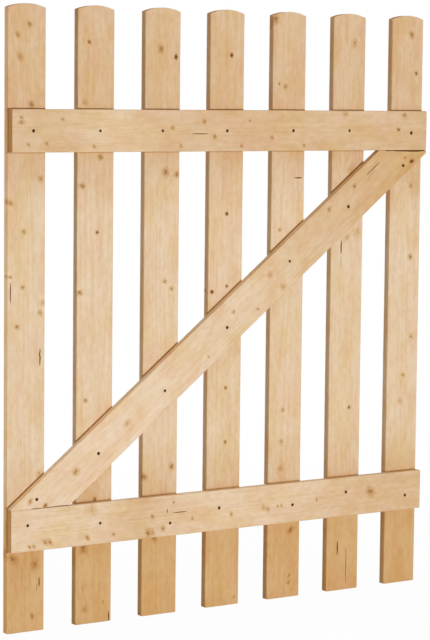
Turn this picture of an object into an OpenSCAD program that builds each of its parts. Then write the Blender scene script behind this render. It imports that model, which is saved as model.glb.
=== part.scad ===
// Leaf of a wooden garden gate: upright pickets with gently arched tops, carried by
// two rails and by a diagonal brace that runs up from the foot of the hinge side.
// Millimetres. X runs along the leaf from its hinge side to its latch side, Y from the
// rails' outer face to the pickets, Z upwards. The origin is the lower hinge seat: the
// point on the bottom rail's outer face where its centreline crosses that of picket_1.

/* [Leaf] */
// Width of the leaf over its outer pickets
leaf_width = 1000; // [900:10:1200]
// Height of the leaf from the pickets' feet to the crown of their tops
leaf_height = 1200; // [1120:10:1500]
// Number of pickets, evenly spaced
picket_count = 7; // [5:1:8]

/* [Boards] */
// Width of every board
board_width = 82; // [60:1:90]
// Thickness of every board
board_thickness = 16; // [12:1:22]
// Radius to which the long arrises are eased
arris_radius = 2; // [1:0.5:4]
// Rise of the arched picket tops from their shoulders to their crown
crown_rise = 8; // [4:1:20]

/* [Rails and brace] */
// Height of the bottom rail's centreline above the pickets' feet
bottom_rail_height = 200; // [140:5:250]
// Height of the top rail's centreline above the pickets' feet
top_rail_height = 961; // [840:1:1040]
// Height of the blunt end that the saw leaves at the foot of the brace
foot_tip = 3; // [2:1:15]
// Height of the blunt end that the saw leaves at the head of the brace
head_tip = 7; // [2:1:15]

/* [Hidden] */

picket_colour = [0.88, 0.73, 0.53];
rail_colour = [0.86, 0.70, 0.48];
brace_colour = [0.89, 0.74, 0.55];

// Places along X and Z, measured from the lower hinge seat
hinge_edge = -board_width / 2;
foot_level = -bottom_rail_height;
bottom_rail_level = 0;
top_rail_level = top_rail_height - bottom_rail_height;
picket_pitch = (leaf_width - board_width) / (picket_count - 1);

// Radius of the arc through a picket's two shoulders and its crown
crown_radius = (pow(board_width / 2, 2) + pow(crown_rise, 2)) / (2 * crown_rise);
shoulder_height = leaf_height - crown_rise;

// The opening that the brace fills, from rail to rail and from edge to edge
opening_level = bottom_rail_level + board_width / 2;
opening_height = top_rail_level - bottom_rail_level - board_width;

// The line across the brace between the ends of its two edges: its upper edge starts one
// foot_tip above the bottom rail, and its lower edge ends one head_tip below the top rail.
brace_run = leaf_width;
brace_rise = opening_height - foot_tip - head_tip;
brace_reach = norm([brace_run, brace_rise]);
brace_angle = atan(brace_rise / brace_run) + asin(board_width / brace_reach);
brace_middle = [hinge_edge + brace_run / 2, 0, opening_level + foot_tip + brace_rise / 2];

// How far a cutting shape runs past the wood that it cuts
cut_margin = 10;

$fn = 64;

// Cross-section of a planed board, its width along X and its outer face on Y = 0.
module board_section() {
    translate([-board_width / 2, arris_radius])
        square([board_width, board_thickness - 2 * arris_radius]);
    translate([arris_radius - board_width / 2, 0])
        square([board_width - 2 * arris_radius, board_thickness]);
    for (x = [-1, 1], y = [arris_radius, board_thickness - arris_radius])
        translate([x * (board_width / 2 - arris_radius), y])
            circle(r = arris_radius);
}

// A length of board that stands on Z = 0, its centreline on the Z axis.
module upright_board(length) {
    linear_extrude(height = length) board_section();
}

// The same length laid down along X, its centreline on the X axis.
module level_board(length) {
    rotate([0, 90, 0]) upright_board(length);
}

// What the saw leaves of a picket, seen on its face: all below the arc of its arched top.
// Everywhere else the outline runs past the wood, so that only the arc cuts it.
module sawn_outline() {
    outline_width = board_width + 2 * cut_margin;
    translate([-outline_width / 2, -cut_margin])
        square([outline_width, shoulder_height]);
    intersection() {
        translate([0, leaf_height - crown_radius])
            circle(r = crown_radius);
        translate([-outline_width / 2, shoulder_height - 2 * cut_margin])
            square([outline_width, 4 * cut_margin]);
    }
}

// One upright, counted from the hinge side and fixed behind the rails.
module picket(number) {
    color(picket_colour)
        translate([(number - 1) * picket_pitch, board_thickness, foot_level])
            intersection() {
                upright_board(leaf_height + cut_margin);
                translate([0, board_thickness + cut_margin, 0])
                    rotate([90, 0, 0])
                        linear_extrude(height = board_thickness + 2 * cut_margin)
                            sawn_outline();
            }
}

// One rail across all the pickets, its centreline at the given level.
module rail(level) {
    color(rail_colour)
        translate([hinge_edge, 0, level])
            level_board(leaf_width);
}

module top_rail() {
    rail(top_rail_level);
}

module bottom_rail() {
    rail(bottom_rail_level);
}

// The diagonal, sawn level against both rails and plumb with both edges of the leaf.
module brace() {
    half_length = brace_reach / 2 + board_width;
    color(brace_colour)
        intersection() {
            translate(brace_middle)
                rotate([0, -brace_angle, 0])
                    translate([-half_length, 0, 0])
                        level_board(2 * half_length);
            translate([hinge_edge, -cut_margin, opening_level])
                cube([leaf_width, board_thickness + 2 * cut_margin, opening_height]);
        }
}

for (number = [1 : picket_count])
    picket(number);
top_rail();
bottom_rail();
brace();
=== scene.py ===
"""Looks of a wooden garden gate leaf: planed softwood boards with grain, knots and checks, and its nails."""

import contextlib
import math
import random

import bmesh
import bpy
from mathutils import Euler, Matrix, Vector


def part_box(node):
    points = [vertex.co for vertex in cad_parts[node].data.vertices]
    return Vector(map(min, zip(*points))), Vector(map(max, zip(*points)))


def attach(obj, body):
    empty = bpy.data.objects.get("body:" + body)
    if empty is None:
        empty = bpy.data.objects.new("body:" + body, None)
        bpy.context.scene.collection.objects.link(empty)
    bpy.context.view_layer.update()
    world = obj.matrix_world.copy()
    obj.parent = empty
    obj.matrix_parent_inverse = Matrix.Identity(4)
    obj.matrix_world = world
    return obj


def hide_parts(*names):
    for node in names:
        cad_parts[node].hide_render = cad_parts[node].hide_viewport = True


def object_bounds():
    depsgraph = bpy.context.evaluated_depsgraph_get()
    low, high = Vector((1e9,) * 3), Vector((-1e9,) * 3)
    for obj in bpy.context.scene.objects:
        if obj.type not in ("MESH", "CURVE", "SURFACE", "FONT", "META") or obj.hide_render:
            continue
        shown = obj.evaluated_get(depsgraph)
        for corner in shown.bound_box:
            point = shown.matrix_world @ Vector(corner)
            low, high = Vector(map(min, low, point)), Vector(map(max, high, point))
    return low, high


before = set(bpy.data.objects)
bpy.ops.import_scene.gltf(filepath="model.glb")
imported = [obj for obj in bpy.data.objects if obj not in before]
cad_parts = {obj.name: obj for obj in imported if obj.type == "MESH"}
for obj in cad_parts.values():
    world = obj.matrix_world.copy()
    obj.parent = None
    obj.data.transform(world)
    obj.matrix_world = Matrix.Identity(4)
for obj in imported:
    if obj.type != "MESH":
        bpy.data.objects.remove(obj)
CAD_LOW, CAD_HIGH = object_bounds()

bl_info = {
    "name": "Garden Gate Leaf",
    "version": (1, 0, 0),
    "blender": (4, 5, 0),
    "location": "View3D > Sidebar > Garden Gate",
    "description": "Models the boards and nails of a braced picket gate leaf",
    "category": "Object",
}

BODY = "root"
BRACE = "brace"
RAILS = ("top_rail", "bottom_rail")
PICKETS = sorted(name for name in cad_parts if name.startswith("picket_"))

# Lengths in metres
MM = 0.001
TINY = 1e-5
MERGE_DISTANCE = 0.0004
WAVE_LENGTH = 0.06
CHECK_DEPTH = 0.0016
JOINT_DEPTH = 0.005
PIT_OVERCUT = 0.001
HEAD_THICKNESS = 0.0008
HEAD_DISH = 0.0004

# Faces across a board, and how far a blade wanders as a share of the shorter of its two sides
BOARD_COLUMNS = 16
BLADE_WANDER = 0.2

# Edges sharper than SHARP_ANGLE are sanded, and those flatter than SMOOTH_ANGLE are shaded smooth
SHARP_ANGLE = math.radians(30)
SMOOTH_ANGLE = math.radians(35)

# Tints of the patches, mottling, streaks and fibres of clear wood
SUNNY_TINT = (0.97, 0.93, 0.80)
ROSY_TINT = (0.98, 0.91, 0.88)
MOTTLE_TINT = (0.95, 0.92, 0.87)
STREAK_TINT = (0.97, 0.95, 0.91)
FIBRE_TINT = (0.95, 0.91, 0.85)

# How far a knot's halo reaches, in radii of the knot, and how much the knot leans along the board
HALO_REACH = 2.4
KNOT_LEAN = 0.12


# Settings that a user would change

class BoardSettings(bpy.types.PropertyGroup):
    """How the boards are eased, sawn, laid and divided into faces."""

    arris_radius: bpy.props.FloatProperty(
        name="Arris radius",
        description="Radius of the eased long edges",
        default=0.002, min=0.0005, max=0.004, subtype="DISTANCE", unit="LENGTH")
    end_easing: bpy.props.FloatProperty(
        name="End easing",
        description="Width of the light sanding round each sawn end",
        default=0.0005, min=0.0001, max=0.0015, subtype="DISTANCE", unit="LENGTH")
    corner_chamfer: bpy.props.FloatProperty(
        name="Corner chamfer",
        description="How much is taken off the corners of the square ends",
        default=0.0015, min=0.0002, max=0.005, subtype="DISTANCE", unit="LENGTH")
    crown_rise: bpy.props.FloatProperty(
        name="Crown rise",
        description="Height of the arched picket tops above their shoulders",
        default=0.008, min=0.002, max=0.02, subtype="DISTANCE", unit="LENGTH")
    joint_gap: bpy.props.FloatProperty(
        name="Joint gap",
        description="Daylight between a rail or the brace and the pickets behind it",
        default=0.0005, min=0.0, max=0.001, subtype="DISTANCE", unit="LENGTH")
    waviness: bpy.props.FloatProperty(
        name="Waviness",
        description="How far the planed faces wander inwards",
        default=0.0003, min=0.0, max=0.0008, subtype="DISTANCE", unit="LENGTH")
    span_step: bpy.props.FloatProperty(
        name="Step along a board",
        description="Spacing of the edge loops along a board",
        default=0.02, min=0.01, max=0.1, subtype="DISTANCE", unit="LENGTH")


class NailSettings(bpy.types.PropertyGroup):
    """Sizes of the nails and of the pits that they are driven into."""

    head_radius: bpy.props.FloatProperty(
        name="Head radius",
        description="Radius of a nail's head",
        default=0.0027, min=0.002, max=0.005, subtype="DISTANCE", unit="LENGTH")
    pit_depth: bpy.props.FloatProperty(
        name="Pit depth",
        description="Depth from the board's face to the nail's head",
        default=0.0025, min=0.0005, max=0.005, subtype="DISTANCE", unit="LENGTH")
    steel: bpy.props.FloatVectorProperty(
        name="Steel",
        description="Colour of the darkened heads",
        default=(0.09, 0.035, 0.008), size=3, min=0, max=1, subtype="COLOR")


class WoodSettings(bpy.types.PropertyGroup):
    """Colours and grain of the softwood."""

    cream: bpy.props.FloatVectorProperty(
        name="Cream wood",
        description="Colour of the palest stretches",
        default=(0.84, 0.68, 0.53), size=3, min=0, max=1, subtype="COLOR")
    pale: bpy.props.FloatVectorProperty(
        name="Pale wood",
        description="Colour of the wood in the middle of the leaf",
        default=(0.79, 0.63, 0.46), size=3, min=0, max=1, subtype="COLOR")
    tan: bpy.props.FloatVectorProperty(
        name="Tan wood",
        description="Colour of the wood towards the pickets' tops",
        default=(0.72, 0.53, 0.35), size=3, min=0, max=1, subtype="COLOR")
    golden: bpy.props.FloatVectorProperty(
        name="Golden wood",
        description="Colour of the wood towards the pickets' feet",
        default=(0.66, 0.435, 0.215), size=3, min=0, max=1, subtype="COLOR")
    late: bpy.props.FloatVectorProperty(
        name="Late wood tint",
        description="Tint of the dark lines of the growth rings",
        default=(0.90, 0.80, 0.62), size=3, min=0, max=1, subtype="COLOR")
    # Painted shade: this tint makes the boards' edges and rounded arrises darker and warmer, as they look in
    # shade
    side_shade: bpy.props.FloatVectorProperty(
        name="Sawn edge tint",
        description="Tint of the boards' edges and rounded arrises",
        default=(1.0, 0.92, 0.80), size=3, min=0, max=1, subtype="COLOR")
    end: bpy.props.FloatVectorProperty(
        name="End grain tint",
        description="Tint of the boards' sawn ends",
        default=(0.68, 0.52, 0.32), size=3, min=0, max=1, subtype="COLOR")
    halo: bpy.props.FloatVectorProperty(
        name="Knot halo tint",
        description="Tint of the resinous wood round a knot",
        default=(0.84, 0.68, 0.42), size=3, min=0, max=1, subtype="COLOR")
    knot: bpy.props.FloatVectorProperty(
        name="Knot",
        description="Colour of a knot",
        default=(0.30, 0.13, 0.03), size=3, min=0, max=1, subtype="COLOR")
    heart: bpy.props.FloatVectorProperty(
        name="Knot heart",
        description="Colour of the darkest specks in a knot",
        default=(0.09, 0.03, 0.005), size=3, min=0, max=1, subtype="COLOR")
    # Painted shade: the dark wood inside the nails' pits and the joints stands in for the shade of these
    # hollows
    bruise: bpy.props.FloatVectorProperty(
        name="Bruised wood",
        description="Colour of the wood inside the nails' pits and the joints",
        default=(0.17, 0.065, 0.014), size=3, min=0, max=1, subtype="COLOR")
    # Painted shade: the dark wood inside the checks stands in for the shade in these cracks
    torn: bpy.props.FloatVectorProperty(
        name="Torn wood",
        description="Colour of the wood inside the checks",
        default=(0.23, 0.095, 0.03), size=3, min=0, max=1, subtype="COLOR")
    # Painted shade: this tint darkens the corners where two boards touch, standing in for the shade of the
    # joints
    grime_and_shade: bpy.props.FloatVectorProperty(
        name="Grime tint",
        description="Tint of the corners where two boards touch",
        default=(0.69, 0.51, 0.25), size=3, min=0, max=1, subtype="COLOR")
    relief: bpy.props.FloatProperty(
        name="Relief",
        description="Height of the raised grain",
        default=0.00025, min=0.0, max=0.001, subtype="DISTANCE", unit="LENGTH")


class StageSettings(bpy.types.PropertyGroup):
    """Camera, lamps and background."""

    lens: bpy.props.FloatProperty(
        name="Lens",
        description="Focal length of the camera",
        default=137.5, min=20, max=300, subtype="DISTANCE_CAMERA")
    key_power: bpy.props.FloatProperty(
        name="Key light",
        description="Power of the soft lamp in front of the rails",
        default=175, min=0, max=1000, subtype="POWER")
    side_power: bpy.props.FloatProperty(
        name="Side light",
        description="Power of the soft lamp beyond the hinge side",
        default=31, min=0, max=1000, subtype="POWER")
    top_power: bpy.props.FloatProperty(
        name="Top light",
        description="Power of the soft lamp overhead",
        default=17, min=0, max=1000, subtype="POWER")
    back_power: bpy.props.FloatProperty(
        name="Back light",
        description="Power of the soft lamp behind the pickets",
        default=110, min=0, max=1000, subtype="POWER")
    sky: bpy.props.FloatProperty(
        name="Sky light",
        description="Brightness of the light from all round",
        default=0.36, min=0, max=1, subtype="FACTOR")


class GateSettings(bpy.types.PropertyGroup):
    """All the settings of the leaf."""

    boards: bpy.props.PointerProperty(type=BoardSettings)
    nails: bpy.props.PointerProperty(type=NailSettings)
    wood: bpy.props.PointerProperty(type=WoodSettings)
    stage: bpy.props.PointerProperty(type=StageSettings)


# Editing helpers

def deselect_all():
    """Leaves no object selected."""
    for piece in bpy.context.selected_objects:
        piece.select_set(False)


def make_active(piece):
    """Leaves the piece as the only selected object."""
    deselect_all()
    piece.select_set(True)
    bpy.context.view_layer.objects.active = piece


@contextlib.contextmanager
def edit_mode(piece):
    """Edit mode on the piece, with nothing in it selected at the start."""
    make_active(piece)
    bpy.ops.object.mode_set(mode="EDIT")
    bpy.ops.mesh.select_mode(type="VERT")
    bpy.ops.mesh.select_all(action="DESELECT")
    yield
    bpy.ops.object.mode_set(mode="OBJECT")


def select(piece, kind, wanted):
    """In edit mode, selects just the verts, edges or faces for which wanted() holds."""
    bpy.ops.mesh.select_mode(type={"verts": "VERT", "edges": "EDGE", "faces": "FACE"}[kind])
    bpy.ops.mesh.select_all(action="DESELECT")
    mesh = bmesh.from_edit_mesh(piece.data)
    mesh.normal_update()
    for element in getattr(mesh, kind):
        if wanted(element):
            element.select_set(True)
    mesh.select_flush_mode()
    bmesh.update_edit_mesh(piece.data)


def runs_along(edge, axis):
    """Whether an edge points along the given axis, 0 to 2."""
    step = edge.verts[1].co - edge.verts[0].co
    return abs(step[axis]) > 0.8 * step.length


def add_block(name, size):
    """A block centred on the origin."""
    deselect_all()
    bpy.ops.mesh.primitive_cube_add(size=1, scale=size)
    block = bpy.context.object
    block.name = block.data.name = name
    bpy.ops.object.transform_apply(location=True, rotation=True, scale=True)
    return block


def copy_of(piece, name):
    """A copy of the piece with a mesh of its own."""
    made = piece.copy()
    made.data = piece.data.copy()
    made.name = made.data.name = name
    bpy.context.collection.objects.link(made)
    return made


def place(piece, location, turn=0.0):
    """Turns the piece about Y, moves it, and keeps the result in its mesh."""
    make_active(piece)
    piece.rotation_euler = (0, turn, 0)
    piece.location = location
    bpy.ops.object.transform_apply(location=True, rotation=True, scale=True)


def join(pieces):
    """Joins the pieces into the first one."""
    make_active(pieces[0])
    for piece in pieces:
        piece.select_set(True)
    bpy.ops.object.join()
    return pieces[0]


def apply_modifier(piece, kind, **settings):
    """Adds a modifier to the piece and applies it."""
    make_active(piece)
    modifier = piece.modifiers.new(kind.lower(), kind)
    for name, value in settings.items():
        setattr(modifier, name, value)
    bpy.ops.object.modifier_apply(modifier=modifier.name)


def cut(piece, tools, finish, colour):
    """Cuts the tools out of the piece, finishes the cut in rough wood of the colour, and removes them."""
    if not tools:
        return
    rough = bpy.data.materials.get(finish) or rough_wood(finish, colour)
    for tool in tools:
        tool.data.materials.append(rough)
    tool = join(tools)
    apply_modifier(piece, "BOOLEAN", operation="DIFFERENCE", solver="EXACT", object=tool, use_self=True,
                   material_mode="TRANSFER")
    bpy.data.objects.remove(tool)


# The leaf's layout, worked out from the frame

class Board:
    """Where one board lies: its centre, its slope and how long it is."""

    def __init__(self, name):
        low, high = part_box(name)
        self.name = name
        self.low, self.high = low, high
        self.centre = (low + high) / 2
        self.thickness = high.y - low.y
        if name in PICKETS:
            self.turn, self.width, self.length = 0.0, high.x - low.x, high.z - low.z
        elif name in RAILS:
            self.turn, self.width, self.length = math.pi / 2, high.z - low.z, high.x - low.x
        else:
            self.width = Board(RAILS[0]).width
            self.length = (high - low).length + 2 * self.width
            edge = upper_edge(name)
            self.turn = math.atan2(edge.normal.z, -edge.normal.x)
            inset = edge.normal.dot(edge.center - self.centre) - self.width / 2
            self.centre.z += inset / edge.normal.z

    def point(self, along, across, depth=0.0):
        """A place on the board: along from its centre, across it, and down from its outer face."""
        local = Vector((across, depth - self.thickness / 2, along))
        return self.centre + Euler((0, self.turn, 0)).to_matrix() @ local


def upper_edge(name):
    """The widest face along the upper edge of a sloping board."""
    faces = [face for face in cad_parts[name].data.polygons
             if face.normal.z > 0.1 and face.normal.x < -0.1]
    return max(faces, key=lambda face: face.area)


# Every nail is near the middle of a crossing: how far right and how far up it strays, and the
# radius of its pit, in millimetres
NAILS = {
    "top_rail": ((5, 0, 3.5), (0, 0, 3), (-10, 0, 3), (-10, 0, 3.5), (0, 0, 3.5), (-10, 0, 3), (0, -5, 4)),
    "bottom_rail": ((-5, 10, 3), (5, 0, 3), (15, -15, 3), (-20, 5, 3.5), (10, -5, 3.5), (-5, 10, 3.5),
                    (0, -10, 3.5)),
    "brace": ((15, 35, 3.5), (0, -5, 3.5), (0, -10, 3), (-5, -10, 3.5), (-5, 0, 3), (-10, -10, 4),
              (-20, -45, 3.5)),
}

# How the wood's tone runs along a board, from its foot or its hinge end (0) to its far end (1)
PICKET_TONES = ((0.0, "golden"), (0.12, "golden"), (0.2, "tan"), (0.3, "pale"), (0.66, "pale"),
                (0.76, "tan"), (1.0, "tan"))
TONES = {
    "top_rail": ((0.0, "tan"), (0.1, "tan"), (0.22, "pale"), (0.38, "tan"), (1.0, "tan")),
    "bottom_rail": ((0.0, "pale"), (0.2, "pale"), (0.3, "tan"), (0.42, "pale"), (0.6, "pale"),
                    (0.9, "tan")),
    "brace": ((0.0, "pale"), (0.25, "cream"), (0.45, "pale"), (0.56, "pale"), (0.74, "tan"),
              (0.92, "golden")),
}

# Checks in the wood: along the board from its centre, across it, length and width, in millimetres
CHECKS = {
    "picket_1": ((55, -35, 40, 2.5), (-70, 30, 35, 3.5), (-505, 30, 20, 3), (-515, 25, 15, 1)),
    "picket_2": ((-590, 35, 20, 3), (-530, -25, 15, 0.5)),
    "picket_5": ((265, 25, 3, 20),),
    "picket_6": ((120, -15, 30, 3.5), (90, -15, 28, 1), (-510, -13, 30, 4), (-550, 10, 80, 1.5)),
    "top_rail": ((-75, 6, 40, 2),),
    "bottom_rail": ((-115, -5, 35, 2), (-145, -10, 2, 10)),
    "brace": ((470, -21, 45, 2), (460, -15, 25, 0.5), (480, -26, 25, 0.5)),
}

# Kinds of knot: radius in millimetres, and how dark it is
KNOT_KINDS = {"pin": (2, 1.15), "small": (3, 1.15), "medium": (4, 1.25), "large": (5.5, 1.2),
              "dark": (2.5, 1.6), "black": (2.5, 2.3), "faint": (4, 0.9), "cloud": (7, 0.7)}

# Knots by kind: along the board from its centre and across it, in millimetres
KNOTS = {
    "picket_1": {"pin": ((85, -35),),
                 "small": ((560, 5), (540, -20), (270, 30), (225, -36), (170, -6), (65, -8), (-10, -20),
                           (-570, 15)),
                 "medium": ((410, 10),),
                 "large": ((-455, -28), (-470, 20)),
                 "faint": ((500, -15), (35, 35), (15, 30), (-295, 30))},
    "picket_2": {"pin": ((-560, 22),),
                 "small": ((-160, -20),),
                 "medium": ((310, 10), (255, -30), (50, -35)),
                 "large": ((-450, -24),),
                 "dark": ((530, -16), (165, 4), (-355, 2)),
                 "faint": ((415, -26), (-570, -20))},
    "picket_3": {"small": ((65, 8), (50, 24)),
                 "medium": ((520, -5), (275, 34), (-305, 28), (-320, -38), (-445, -12)),
                 "large": ((280, 8),),
                 "black": ((505, 30),)},
    "picket_4": {"pin": ((-585, 30),),
                 "dark": ((50, 4), (-155, 4), (-265, 4)),
                 "black": ((510, 10), (195, 2), (40, -32))},
    "picket_5": {"pin": ((455, -25), (-555, 15), (-570, 14)),
                 "small": ((450, -10), (160, -20), (-210, -6)),
                 "medium": ((-460, 18),),
                 "large": ((585, -36),),
                 "faint": ((-275, -8), (-330, -10))},
    "picket_6": {"dark": ((-215, 12),),
                 "faint": ((540, 12), (140, 0)),
                 "cloud": ((280, 10), (150, 25))},
    "picket_7": {"small": ((245, 14), (-155, 2)),
                 "medium": ((560, 10), (95, 16)),
                 "dark": ((480, 24),),
                 "faint": ((-75, 22), (-210, -6))},
    "top_rail": {"pin": ((-480, -25), (-465, 26), (-425, 24), (-390, -22), (-320, 30), (-120, 30), (25, 30),
                         (45, -20), (180, 30)),
                 "small": ((-480, -16), (-140, -6), (-65, -18), (-40, 12), (100, 14), (440, -32)),
                 "dark": ((425, -2),),
                 "faint": ((285, -34),)},
    "bottom_rail": {"pin": ((-460, 32), (-450, 32), (-270, 25), (-130, -26), (-85, 10), (125, 4), (135, 4),
                            (225, 0)),
                    "small": ((-425, 26), (-415, 26), (-330, 26), (-180, -2), (-155, 24), (10, 10)),
                    "medium": ((-190, 30),),
                    "large": ((365, -6),),
                    "faint": ((-180, 30), (90, 4), (100, 8)),
                    "cloud": ((-320, -26),)},
    "brace": {"pin": ((-540, 12), (-80, 22), (70, 24), (550, 14)),
              "small": ((-560, -25), (20, -10), (330, -24), (410, -22)),
              "medium": ((-450, -2),),
              "dark": ((-540, 4),),
              "black": ((560, 30),),
              "faint": ((-305, 0), (135, -12), (145, 28))},
}


def nail_places(name):
    """The nails' places on the outer face of a rail or the brace, with the radius of each one's pit."""
    board = Board(name)
    places = []
    for picket, (right, up, radius) in zip(PICKETS, NAILS[name]):
        x = Board(picket).centre.x - board.centre.x
        level = x * math.tan(math.pi / 2 - board.turn)
        spot = board.centre + Vector((x + right * MM, -board.thickness / 2, level + up * MM))
        places.append((spot, radius * MM))
    return places


# Shader maths

class Wire:
    """A shader socket that Python arithmetic can be written with; each operation adds its Math node."""

    def __init__(self, shader, socket):
        self.shader, self.socket = shader, socket

    def _math(self, operation, *values):
        return self.shader.add("ShaderNodeMath", {"operation": operation}, dict(enumerate(values)))

    def __add__(self, other):
        return self._math("ADD", self, other)

    def __sub__(self, other):
        return self._math("SUBTRACT", self, other)

    def __rsub__(self, other):
        return self._math("SUBTRACT", other, self)

    def __mul__(self, other):
        return self._math("MULTIPLY", self, other)

    def __truediv__(self, other):
        return self._math("DIVIDE", self, other)

    __radd__, __rmul__ = __add__, __mul__

    def fraction(self):
        return self._math("FRACT", self)

    def size(self):
        return self._math("ABSOLUTE", self)

    def least(self, other):
        return self._math("MINIMUM", self, other)

    def most(self, other):
        return self._math("MAXIMUM", self, other)

    def rise(self, start, end):
        """0 up to start, 1 from end on, and a smooth step between; start may be above end."""
        settings = {"interpolation_type": "SMOOTHSTEP"}
        span = {"Value": self, "From Min": start, "From Max": end}
        return self.shader.add("ShaderNodeMapRange", settings, span)


class Shader:
    """The node tree of a material or of the world, and the methods that add nodes to it."""

    def __init__(self, owner):
        self.owner = owner
        owner.use_nodes = True
        self.tree = owner.node_tree
        self.tree.nodes.clear()

    def add(self, kind, settings=None, inputs=None, output=0):
        """Adds a node, sets it up and wires its inputs, and returns one output as a Wire."""
        node = self.tree.nodes.new(kind)
        for name, value in (settings or {}).items():
            if name == "stops":
                ramp = node.color_ramp.elements
                while len(ramp) < len(value):
                    ramp.new(1.0)
                for stop, (position, colour) in zip(ramp, value):
                    stop.position, stop.color = position, (*colour, 1.0)
            else:
                setattr(node, name, value)
        for key, value in (inputs or {}).items():
            if isinstance(value, Wire):
                self.tree.links.new(value.socket, node.inputs[key])
            else:
                node.inputs[key].default_value = value
        return Wire(self, node.outputs[output])

    def vector(self, operation, *values, output=0):
        return self.add("ShaderNodeVectorMath", {"operation": operation}, dict(enumerate(values)), output)

    def stretch(self, vector, *scale):
        return self.vector("MULTIPLY", vector, scale)

    def noise(self, vector, detail=2.0, roughness=0.5, output=0):
        settings = {"Vector": vector, "Scale": 1.0, "Detail": detail, "Roughness": roughness}
        return self.add("ShaderNodeTexNoise", None, settings, output)

    def blend(self, factor, a, b, mode="MIX"):
        """Mixes two colours; sockets 0, 6 and 7 are a colour Mix node's factor, A and B."""
        a, b = (value if isinstance(value, Wire) else (*value, 1.0) for value in (a, b))
        settings = {"data_type": "RGBA", "blend_type": mode}
        return self.add("ShaderNodeMix", settings, {0: factor, 6: a, 7: b}, output=2)

    def tint(self, factor, colour, tint):
        """Multiplies the colour by the tint, as strongly as the factor says."""
        return self.blend(factor, colour, tuple(tint), mode="MULTIPLY")

    def axis(self, vector, name):
        """One coordinate of a vector: X, Y or Z."""
        return self.add("ShaderNodeSeparateXYZ", None, {"Vector": vector}, output=name)

    def seen_from(self, vector, location, rotation):
        """The same place, measured from another origin and along turned axes."""
        settings = {"Vector": vector, "Location": location, "Rotation": rotation}
        return self.add("ShaderNodeMapping", {"vector_type": "TEXTURE"}, settings)

    def finish(self, surface, output="ShaderNodeOutputMaterial"):
        """Wires the surface to the output, and returns the material or the world."""
        end = self.tree.nodes.new(output)
        self.tree.links.new(surface.socket, end.inputs["Surface"])
        return self.owner


def knot_strength(shader, local, board, pith):
    """How knotty a point is: over 1 in a dark knot's heart, 0 at the rim of its halo, less in clear wood."""
    strongest = None
    knots = [(spot, KNOT_KINDS[kind]) for kind, spots in KNOTS[board.name].items() for spot in spots]
    for (along, across), (radius, heart) in knots:
        middle = Vector((across, -1000 * board.thickness / 2, along)) * MM
        out = middle - pith
        branch = Vector((out.x, out.y, KNOT_LEAN * out.length)).normalized()
        grow = 1 / (radius * MM)
        from_middle = shader.vector("MULTIPLY_ADD", local, (grow,) * 3, tuple(-middle * grow))
        aside = shader.vector("CROSS_PRODUCT", from_middle, tuple(branch))
        distance = shader.vector("LENGTH", aside, output=1)
        strength = heart - distance * (heart / HALO_REACH)
        strongest = strength if strongest is None else strongest.most(strength)
    return strongest


def painted_corner_shade(shader, board, coordinates, local, face):
    """How much painted shade a point gets: up to 1 in the corners between the pickets and the boards on
    them, and along the backs of the boards' edges.
    """
    depth = shader.axis(local, "Y")
    if board.name not in PICKETS:
        # Painted shade along the back of a rail's or the brace's edges, where it lies on the pickets
        return depth.rise(0.003, 0.0075) * face.rise(0.98, 0.6)
    height = shader.axis(coordinates, "Z")
    nearest = None
    for name in NAILS:
        other = Board(name)
        crossing = shader.seen_from(coordinates, other.centre, (0, other.turn, 0))
        beside = shader.axis(crossing, "X").size() - other.width / 2
        middle = (other.low.z + other.high.z) / 2
        reach = (other.high.z - other.low.z) / 2
        gap = beside.most((height - middle).size() - reach)
        nearest = gap if nearest is None else nearest.least(gap)
    # Painted shade on the pickets' fronts, within 3 mm of the boards that cross them
    return nearest.rise(0.003, 0.0) * depth.rise(0.002, -0.007)


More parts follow.
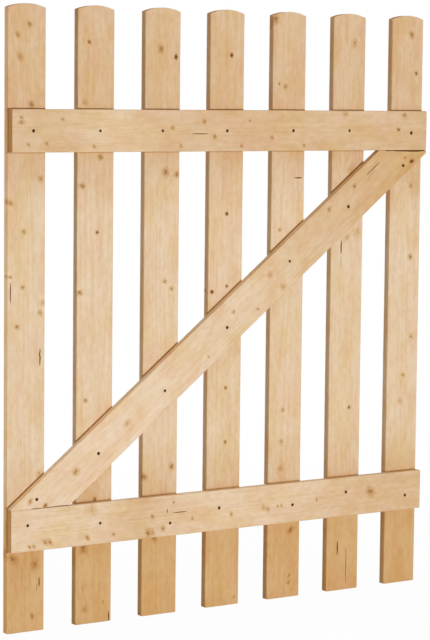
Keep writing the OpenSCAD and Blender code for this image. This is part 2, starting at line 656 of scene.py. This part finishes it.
def softwood(board, wood):
    """Planed spruce: rings about a pith behind the board, fibres along it, patches of colour and knots."""
    shader = Shader(bpy.data.materials.new("softwood_" + board.name))
    chance = random.Random(board.name)
    pith = Vector((chance.uniform(-0.03, 0.03), chance.choice((-1, 1)) * chance.uniform(0.05, 0.11), 0))
    tilt = (chance.uniform(-0.012, 0.012), chance.uniform(-0.006, 0.006), 0)
    ring_step = chance.uniform(0.0026, 0.004)

    coordinates = shader.add("ShaderNodeTexCoord", output="Object")
    local = shader.seen_from(coordinates, board.centre, (0, board.turn, 0))
    shift = (chance.uniform(-9, 9), chance.uniform(-9, 9), chance.uniform(-9, 9))
    seeded = shader.vector("ADD", local, shift)
    waves = shader.noise(shader.stretch(seeded, 22, 22, 14), detail=2.0, output=1)
    wavy = shader.vector("MULTIPLY_ADD", waves, (0.012, 0.012, 0), seeded)
    fibre = shader.noise(shader.stretch(wavy, 700, 700, 16), detail=3.0, roughness=0.6)
    streak = shader.noise(shader.stretch(wavy, 160, 160, 6), detail=3.0)
    speck = shader.noise(shader.stretch(seeded, 300, 300, 220), detail=3.0, roughness=0.7)
    knot = knot_strength(shader, local, board, pith) + (speck - 0.5) * 1.6

    log = shader.seen_from(local, pith, tilt)
    radius = shader.vector("LENGTH", shader.stretch(log, 1, 1, 0), output=1)
    sway = shader.noise(shader.stretch(seeded, 16, 16, 1.7), detail=1.0)
    phase = (radius / ring_step + sway * 3.0 + knot.rise(-0.7, 0.8) * 1.2).fraction()
    late = phase.rise(0.3, 0.85) * phase.rise(1.0, 0.9)

    colour = clear_wood(shader, board, wood, local, seeded)
    colour = shader.tint(late * (0.08 + streak * 0.32), colour, wood.late)
    colour = shader.tint(streak.rise(0.35, 0.75), colour, STREAK_TINT)
    colour = shader.tint(fibre.rise(0.3, 0.8), colour, FIBRE_TINT)
    colour = shader.tint(knot.rise(0.0, 0.6) * 0.7, colour, wood.halo)
    colour = shader.blend(knot.rise(0.55, 1.15) * 0.85, colour, tuple(wood.knot))
    colour = shader.blend(knot.rise(1.1, 1.6) * 0.9, colour, tuple(wood.heart))

    normal = shader.add("ShaderNodeTexCoord", output="Normal")
    face = shader.vector("DOT_PRODUCT", normal, (0, 1, 0), output=1).size()
    along = (math.sin(board.turn), 0, math.cos(board.turn))
    end = shader.vector("DOT_PRODUCT", normal, along, output=1).size()
    # Painted shade: the corners where the boards touch are tinted darker and warmer
    colour = shader.tint(painted_corner_shade(shader, board, coordinates, local, face), colour, wood.grime_and_shade)
    # Painted shade: the side faces and arrises are tinted darker and warmer
    colour = shader.tint(face.rise(0.98, 0.6), colour, wood.side_shade)
    colour = shader.tint(end.rise(0.6, 0.9), colour, wood.end)

    height = late * 0.35 + fibre * 0.5 + knot.rise(0.5, 0.9) * 0.6
    bump = shader.add("ShaderNodeBump", None, {"Strength": 0.6, "Distance": wood.relief, "Height": height})
    surface = shader.add("ShaderNodeBsdfPrincipled", None, {
        "Base Color": colour, "Roughness": 0.62 - 0.15 * knot.rise(0.5, 0.9), "Normal": bump,
        "Specular IOR Level": 0.15})
    return shader.finish(surface)


def clear_wood(shader, board, wood, local, seeded):
    """The colour between knots and rings: the board's tones, with sunny, rosy and mottled patches."""
    sunny = shader.noise(shader.stretch(seeded, 24, 24, 12), detail=3.0)
    rosy = shader.noise(shader.stretch(seeded, 29, -29, 14), detail=3.0)
    mottle = shader.noise(shader.stretch(seeded, 110, 110, 60), detail=2.0)
    span = shader.axis(local, "Z") / board.length + 0.5
    tones = TONES.get(board.name, PICKET_TONES)
    stops = [(position, tuple(getattr(wood, tone))) for position, tone in tones]
    colour = shader.add("ShaderNodeValToRGB", {"stops": stops}, {"Fac": span})
    colour = shader.tint(sunny.rise(0.40, 0.66), colour, SUNNY_TINT)
    colour = shader.tint(rosy.rise(0.42, 0.66), colour, ROSY_TINT)
    return shader.tint(mottle.rise(0.35, 0.7), colour, MOTTLE_TINT)


def rough_wood(name, dark):
    """Broken fibres inside a pit, a joint or a check, coloured dark as painted shade of the hollow."""
    shader = Shader(bpy.data.materials.new(name))
    coordinates = shader.add("ShaderNodeTexCoord", output="Object")
    torn = shader.noise(shader.stretch(coordinates, 1500, 1500, 1500), detail=2.0)
    colour = shader.blend(torn.rise(0.4, 0.8), tuple(dark), tuple(1.8 * part for part in dark))
    surface = shader.add("ShaderNodeBsdfPrincipled", None, {
        "Base Color": colour, "Roughness": 0.85, "Specular IOR Level": 0.0})
    return shader.finish(surface)


def darkened_steel(nails):
    """Nail heads, dull and dark in their pits."""
    shader = Shader(bpy.data.materials.new("darkened_steel"))
    coordinates = shader.add("ShaderNodeTexCoord", output="Object")
    grime_and_shade = shader.noise(shader.stretch(coordinates, 900, 900, 900), detail=3.0)
    worn = shader.noise(shader.stretch(coordinates, 9, 9, 9), detail=0.0).rise(0.35, 0.65)
    rust = tuple(2.4 * part for part in nails.steel)
    colour = shader.blend(grime_and_shade.rise(0.4, 0.65) * worn, tuple(nails.steel), rust)
    bump = shader.add("ShaderNodeBump", None, {"Strength": 0.5, "Distance": 0.0002, "Height": grime_and_shade})
    surface = shader.add("ShaderNodeBsdfPrincipled", None, {
        "Base Color": colour, "Roughness": 0.5 + 0.4 * grime_and_shade, "Normal": bump, "Specular IOR Level": 0.0})
    return shader.finish(surface)


# Boards

def plain_board(name, board, sizes, crown=False):
    """A planed board along Z, centred on the origin, with eased arrises and, if wanted, an arched top."""
    piece = add_block(name, (board.width, board.thickness, board.length))
    half_width, top = board.width / 2, board.length / 2
    with edit_mode(piece):
        select(piece, "edges", lambda edge: runs_along(edge, 0))
        bpy.ops.mesh.subdivide(number_cuts=BOARD_COLUMNS - 1)
        if crown:
            arch_top(piece, half_width, top, sizes.crown_rise)
        select(piece, "edges", lambda edge: runs_along(edge, 2))
        bpy.ops.mesh.subdivide(number_cuts=round(board.length / sizes.span_step) - 1)
        select(piece, "edges", lambda edge: runs_along(edge, 2) and all(
            abs(vert.co.x) > half_width - TINY for vert in edge.verts))
        bpy.ops.mesh.bevel(offset=sizes.arris_radius, segments=4, affect="EDGES")
    for end in (-1,) if crown else (-1, 1):
        for side in (-1, 1):
            corner = Vector((side * half_width, 0, end * top))
            outward = Vector((side, 0, end))
            saw_off(piece, corner - outward * sizes.corner_chamfer / 2, outward)
    with edit_mode(piece):
        bpy.ops.mesh.select_all(action="SELECT")
        bpy.ops.mesh.remove_doubles(threshold=MERGE_DISTANCE)
        select(piece, "edges", lambda edge: edge.calc_face_angle(0) > SHARP_ANGLE)
        bpy.ops.mesh.bevel(offset=sizes.end_easing, segments=2, affect="EDGES")
    return piece


def saw_off(piece, point, outward):
    """Saws the piece off at a plane and closes the cut."""
    with edit_mode(piece):
        bpy.ops.mesh.select_all(action="SELECT")
        bpy.ops.mesh.bisect(plane_co=point, plane_no=outward, use_fill=True, clear_outer=True)


def arch_top(piece, half_width, top, rise):
    """Lowers the board's top face to an arc through the shoulders and the crown."""
    radius = (half_width ** 2 + rise ** 2) / (2 * rise)
    columns = sorted({round(vert.co.x, 6) for vert in bmesh.from_edit_mesh(piece.data).verts})
    for x in columns:
        drop = radius - math.sqrt(radius ** 2 - x ** 2)
        select(piece, "verts", lambda vert: vert.co.z > top - rise / 2 and abs(vert.co.x - x) < TINY)
        bpy.ops.transform.translate(value=(0, 0, -drop))


def weather(piece, sizes):
    """Lets the faces wander inwards a little, as planed boards do."""
    texture = bpy.data.textures.new("board_waves", "CLOUDS")
    texture.noise_scale = WAVE_LENGTH
    apply_modifier(piece, "DISPLACE", texture=texture, texture_coords="LOCAL", strength=sizes.waviness,
                   mid_level=1.0)


def lift_back(piece, board, sizes):
    """Draws the board's back off the pickets by the joint gap, its arrises with it."""
    with edit_mode(piece):
        select(piece, "verts", lambda vert: vert.co.y > board.high.y - 2 * sizes.arris_radius)
        bpy.ops.transform.translate(value=(0, -sizes.joint_gap, 0))


def nail_pit(nails, spot, radius):
    """The tool that sinks a nail's pit into a board: a cone with a narrower floor."""
    deselect_all()
    bpy.ops.mesh.primitive_cone_add(
        vertices=32, radius1=nails.head_radius, radius2=radius, depth=nails.pit_depth + 2 * PIT_OVERCUT,
        rotation=(math.pi / 2, 0, 0), location=spot + Vector((0, nails.pit_depth / 2, 0)))
    bpy.ops.object.transform_apply(location=True, rotation=True, scale=True)
    return bpy.context.object


def ragged_blade(spot, turn, length, width, depth, seed):
    """The tool that opens a check or a joint: a thin wandering blade, upright before its turn."""
    chance = random.Random(seed)
    deselect_all()
    bpy.ops.mesh.primitive_uv_sphere_add(segments=8, ring_count=14, radius=1)
    blade = bpy.context.object
    blade.scale = (width / 2, depth, length / 2)
    bpy.ops.object.transform_apply(location=True, rotation=True, scale=True)
    heights = sorted({round(vert.co.z, 6) for vert in blade.data.vertices})
    with edit_mode(blade):
        for height in heights:
            select(blade, "verts", lambda vert: abs(vert.co.z - height) < TINY)
            wander = chance.uniform(-BLADE_WANDER, BLADE_WANDER) * min(width, length)
            bpy.ops.transform.translate(value=(wander, 0, 0))
    place(blade, spot, turn)
    return blade


def check_blades(board):
    """The tools that open a board's checks along its grain."""
    return [ragged_blade(board.point(along * MM, across * MM), board.turn, length * MM, width * MM,
                         depth=CHECK_DEPTH, seed=number)
            for number, (along, across, length, width) in enumerate(CHECKS.get(board.name, ()))]


def dress(piece, board, settings, tools=()):
    """Opens the board's pits, checks and joints, gives it its wood, and ties it to the frame."""
    piece.data.materials.append(softwood(board, settings.wood))
    tools = list(tools)
    if board.name in NAILS:
        tools += [nail_pit(settings.nails, spot, radius) for spot, radius in nail_places(board.name)]
    # Painted shade: the walls of the pits and joints are coloured dark for the shade inside them
    cut(piece, tools, "bruised_wood", settings.wood.bruise)
    # Painted shade: the walls of the checks are coloured dark for the shade inside them
    cut(piece, check_blades(board), "torn_wood", settings.wood.torn)
    make_active(piece)
    bpy.ops.object.shade_smooth_by_angle(angle=SMOOTH_ANGLE)
    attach(piece, BODY)
    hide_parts(board.name)


# Operators, one for each kind of piece

class GATE_OT_pickets(bpy.types.Operator):
    """Models one picket and copies it along the leaf"""

    bl_idname = "gate.pickets"
    bl_label = "Pickets"

    def execute(self, context):
        settings = context.scene.gate
        pattern = plain_board("picket_pattern", Board(PICKETS[0]), settings.boards, crown=True)
        for name in PICKETS:
            board = Board(name)
            picket = copy_of(pattern, "board_" + name)
            place(picket, board.centre)
            weather(picket, settings.boards)
            dress(picket, board, settings)
        bpy.data.objects.remove(pattern)
        return {"FINISHED"}


class GATE_OT_rails(bpy.types.Operator):
    """Models the two rails"""

    bl_idname = "gate.rails"
    bl_label = "Rails"

    def execute(self, context):
        settings = context.scene.gate
        for name in RAILS:
            board = Board(name)
            rail = plain_board("board_" + name, board, settings.boards)
            place(rail, board.centre, board.turn)
            weather(rail, settings.boards)
            lift_back(rail, board, settings.boards)
            dress(rail, board, settings)
        return {"FINISHED"}


class GATE_OT_brace(bpy.types.Operator):
    """Models the diagonal brace and saws its ends to the rails and to the edges of the leaf"""

    bl_idname = "gate.brace"
    bl_label = "Brace"

    def execute(self, context):
        settings = context.scene.gate
        board = Board(BRACE)
        brace = plain_board("board_" + BRACE, board, settings.boards)
        place(brace, board.centre, board.turn)
        weather(brace, settings.boards)
        saws = ((board.low, (0, 0, -1)), (board.high, (0, 0, 1)),
                (board.low, (-1, 0, 0)), (board.high, (1, 0, 0)))
        for point, outward in saws:
            saw_off(brace, point, outward)
        lift_back(brace, board, settings.boards)
        dress(brace, board, settings, self.joint_blades(board))
        return {"FINISHED"}

    def joint_blades(self, board):
        """The tools that open the front of the joints with the rails, where the brace has shrunk."""
        head = Vector((board.high.x - 0.025, board.low.y, board.high.z))
        foot = Vector((board.low.x + 0.11, board.low.y, board.low.z))
        return [ragged_blade(head, math.pi / 2, length=0.17, width=0.0054, depth=JOINT_DEPTH, seed=1),
                ragged_blade(foot, math.pi / 2, length=0.14, width=0.0026, depth=JOINT_DEPTH, seed=2)]


class GATE_OT_nails(bpy.types.Operator):
    """Models one nail and drives a copy through every crossing"""

    bl_idname = "gate.nails"
    bl_label = "Nails"

    def execute(self, context):
        nails = context.scene.gate.nails
        steel = darkened_steel(nails)
        pattern = self.nail(nails)
        pattern.data.materials.append(steel)
        for board in NAILS:
            for number, (spot, _) in enumerate(nail_places(board), 1):
                nail = copy_of(pattern, f"nail_{board}_{number}")
                place(nail, spot + Vector((0, nails.pit_depth, 0)))
                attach(nail, BODY)
        bpy.data.objects.remove(pattern)
        return {"FINISHED"}

    def nail(self, nails):
        """A nail's head, its face on Y = 0, dished where the punch drove it."""
        deselect_all()
        bpy.ops.mesh.primitive_cylinder_add(
            vertices=32, radius=nails.head_radius * 0.97, depth=HEAD_THICKNESS,
            rotation=(math.pi / 2, 0, 0), location=(0, HEAD_THICKNESS / 2, 0))
        nail = bpy.context.object
        bpy.ops.object.transform_apply(location=True, rotation=True, scale=True)
        with edit_mode(nail):
            select(nail, "faces", lambda face: face.normal.y < -0.9)
            bpy.ops.mesh.inset(thickness=nails.head_radius * 0.35)
            bpy.ops.mesh.inset(thickness=nails.head_radius * 0.2, depth=-HEAD_DISH)
        bpy.ops.object.shade_smooth_by_angle(angle=SMOOTH_ANGLE)
        return nail


class GATE_OT_stage(bpy.types.Operator):
    """Lays the floor and sets the background, the lamps and the camera"""

    bl_idname = "gate.stage"
    bl_label = "Stage"

    def execute(self, context):
        stage = context.scene.gate.stage
        self.floor()
        self.background(context.scene, stage)
        middle = (CAD_LOW + CAD_HIGH) / 2
        self.lamp("key_light", middle, azimuth=2, height=-0.37, distance=5.5, size=0.4,
                  power=stage.key_power)
        self.lamp("side_light", middle, azimuth=-90, height=-0.2, distance=3.5, size=0.5,
                  power=stage.side_power)
        self.lamp("top_light", middle, azimuth=0, height=2.8, distance=0.3, size=2.0,
                  power=stage.top_power)
        self.lamp("back_light", middle, azimuth=160, height=0.3, distance=4.5, size=1.6,
                  power=stage.back_power)
        self.camera(context.scene, stage)
        return {"FINISHED"}

    def floor(self):
        """A pale floor that the camera sees as white, very slightly less so near the leaf."""
        deselect_all()
        bpy.ops.mesh.primitive_circle_add(vertices=96, radius=9, fill_type="NGON",
                                          location=(CAD_LOW.x, 0, CAD_LOW.z))
        floor = bpy.context.object
        floor.name = "floor"
        bpy.ops.object.transform_apply(location=True, rotation=True, scale=True)
        shader = Shader(bpy.data.materials.new("pale_floor"))
        seen = self.seen_directly(shader)
        coordinates = shader.add("ShaderNodeTexCoord", output="Object")
        far = shader.vector("LENGTH", coordinates, output=1).rise(0.8, 2.8)
        lit = shader.add("ShaderNodeBsdfDiffuse", None, {"Color": (0.8, 0.8, 0.8, 1)})
        glow = shader.add("ShaderNodeEmission", None, {"Color": (1, 1, 1, 1), "Strength": 1.0})
        whiteness = seen * (0.97 + far * 0.03)
        surface = shader.add("ShaderNodeMixShader", None, {0: whiteness, 1: lit, 2: glow})
        floor.data.materials.append(shader.finish(surface))

    def seen_directly(self, shader):
        """1 for what the camera sees, straight or in gloss or glass, and 0 for light."""
        path = [shader.add("ShaderNodeLightPath", output=name)
                for name in ("Is Camera Ray", "Is Glossy Ray", "Is Transmission Ray")]
        return (path[0] + path[1] + path[2]).least(1.0)

    def background(self, scene, stage):
        """White where it is seen directly, and a dimmer light from all round."""
        shader = Shader(bpy.data.worlds.new("white_studio"))
        seen = self.seen_directly(shader)
        strength = seen * (1.0 - stage.sky) + stage.sky
        sky = shader.add("ShaderNodeBackground", None, {"Color": (1, 1, 1, 1), "Strength": strength})
        scene.world = shader.finish(sky, output="ShaderNodeOutputWorld")

    def lamp(self, name, target, azimuth, height, distance, size, power):
        """A soft square lamp that faces the target; azimuth 0 is in front of the rails."""
        angle = math.radians(azimuth)
        spot = target + Vector((math.sin(angle) * distance, -math.cos(angle) * distance, height))
        data = bpy.data.lights.new(name, "AREA")
        data.shape, data.size, data.energy = "SQUARE", size, power
        lamp = bpy.data.objects.new(name, data)
        lamp.location = spot
        lamp.rotation_euler = (target - spot).to_track_quat("-Z", "Y").to_euler()
        bpy.context.collection.objects.link(lamp)

    def camera(self, scene, stage):
        """The camera stands left of the leaf, about level with the top rail."""
        azimuth, elevation, roll = math.radians(-34.6), math.radians(5.35), math.radians(0.6)
        distance = 4.87
        aim = CAD_LOW + Vector((0.465, 0, 0.585))
        back = Vector((math.sin(azimuth) * math.cos(elevation), -math.cos(azimuth) * math.cos(elevation),
                       math.sin(elevation)))
        data = bpy.data.cameras.new("camera")
        data.lens = stage.lens
        data.sensor_width = 36
        camera = bpy.data.objects.new("camera", data)
        camera.location = aim + back * distance
        facing = (-back).to_track_quat("-Z", "Y").to_matrix() @ Euler((0, 0, roll)).to_matrix()
        camera.rotation_euler = facing.to_euler()
        bpy.context.collection.objects.link(camera)
        scene.camera = camera


class GATE_PT_sidebar(bpy.types.Panel):
    """Lists the gate's operators and settings in the sidebar."""

    bl_idname = "GATE_PT_sidebar"
    bl_label = "Garden Gate"
    bl_space_type = "VIEW_3D"
    bl_region_type = "UI"
    bl_category = "Garden Gate"

    def draw(self, context):
        for operator in OPERATORS:
            self.layout.operator(operator.bl_idname)
        for group in ("boards", "nails", "wood", "stage"):
            box = self.layout.box()
            settings = getattr(context.scene.gate, group)
            for name in settings.bl_rna.properties.keys():
                if name not in ("rna_type", "name"):
                    box.prop(settings, name)


OPERATORS = (GATE_OT_pickets, GATE_OT_rails, GATE_OT_brace, GATE_OT_nails, GATE_OT_stage)
SETTINGS = (BoardSettings, NailSettings, WoodSettings, StageSettings, GateSettings)
CLASSES = (*SETTINGS, *OPERATORS, GATE_PT_sidebar)


def register():
    for cls in CLASSES:
        bpy.utils.register_class(cls)
    bpy.types.Scene.gate = bpy.props.PointerProperty(type=GateSettings)


def unregister():
    del bpy.types.Scene.gate
    for cls in reversed(CLASSES):
        bpy.utils.unregister_class(cls)


def main():
    """Models the whole leaf with its stage."""
    register()
    bpy.context.scene.view_settings.view_transform = "Standard"
    bpy.ops.gate.pickets()
    bpy.ops.gate.rails()
    bpy.ops.gate.brace()
    bpy.ops.gate.nails()
    bpy.ops.gate.stage()


if __name__ == "__main__":
    main()
